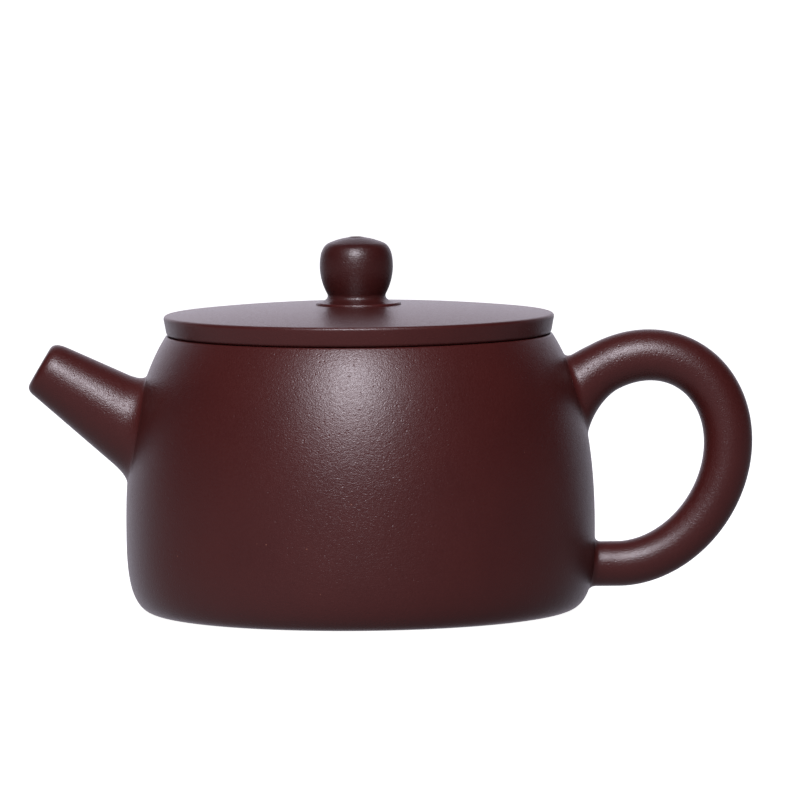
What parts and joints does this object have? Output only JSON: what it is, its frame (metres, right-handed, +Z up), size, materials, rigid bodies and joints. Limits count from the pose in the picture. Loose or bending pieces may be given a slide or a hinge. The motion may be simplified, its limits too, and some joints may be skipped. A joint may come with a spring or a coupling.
{
  "type": "teapot",
  "caption": "Low straight-sided unglazed clay teapot with a flat press-over lid and vented knob, a straight cone spout with a ball strainer, and a round ear handle.",
  "frame": {"origin": "centre of the flat underside, on the pot's axis, where it stands on the table", "axes": "+Z up along the pot's axis, +X towards the handle, -X towards the spout"},
  "size_m": [0.1485, 0.0962, 0.0768],
  "materials": {
    "burnished_clay": "unglazed purple-brown stoneware, burnished to a satin surface",
    "plain_clay": "unglazed purple-brown stoneware, left matt and unburnished"
  },
  "bodies": {
    "pot": {"body_wall": "burnished_clay", "base_disc": "burnished_clay", "mouth_ring": "burnished_clay", "spout": "burnished_clay", "ball_strainer": "plain_clay", "handle": "burnished_clay"},
    "lid": {"lid_plate": "burnished_clay", "lid_flange": "plain_clay", "knob_seat": "burnished_clay", "knob": "burnished_clay"}
  },
  "joints": [
    {"name": "lid_lift", "type": "slide", "parent": "pot", "child": "lid", "axis": [0, 0, 1], "range_m": [0, 0.06]}
  ]
}
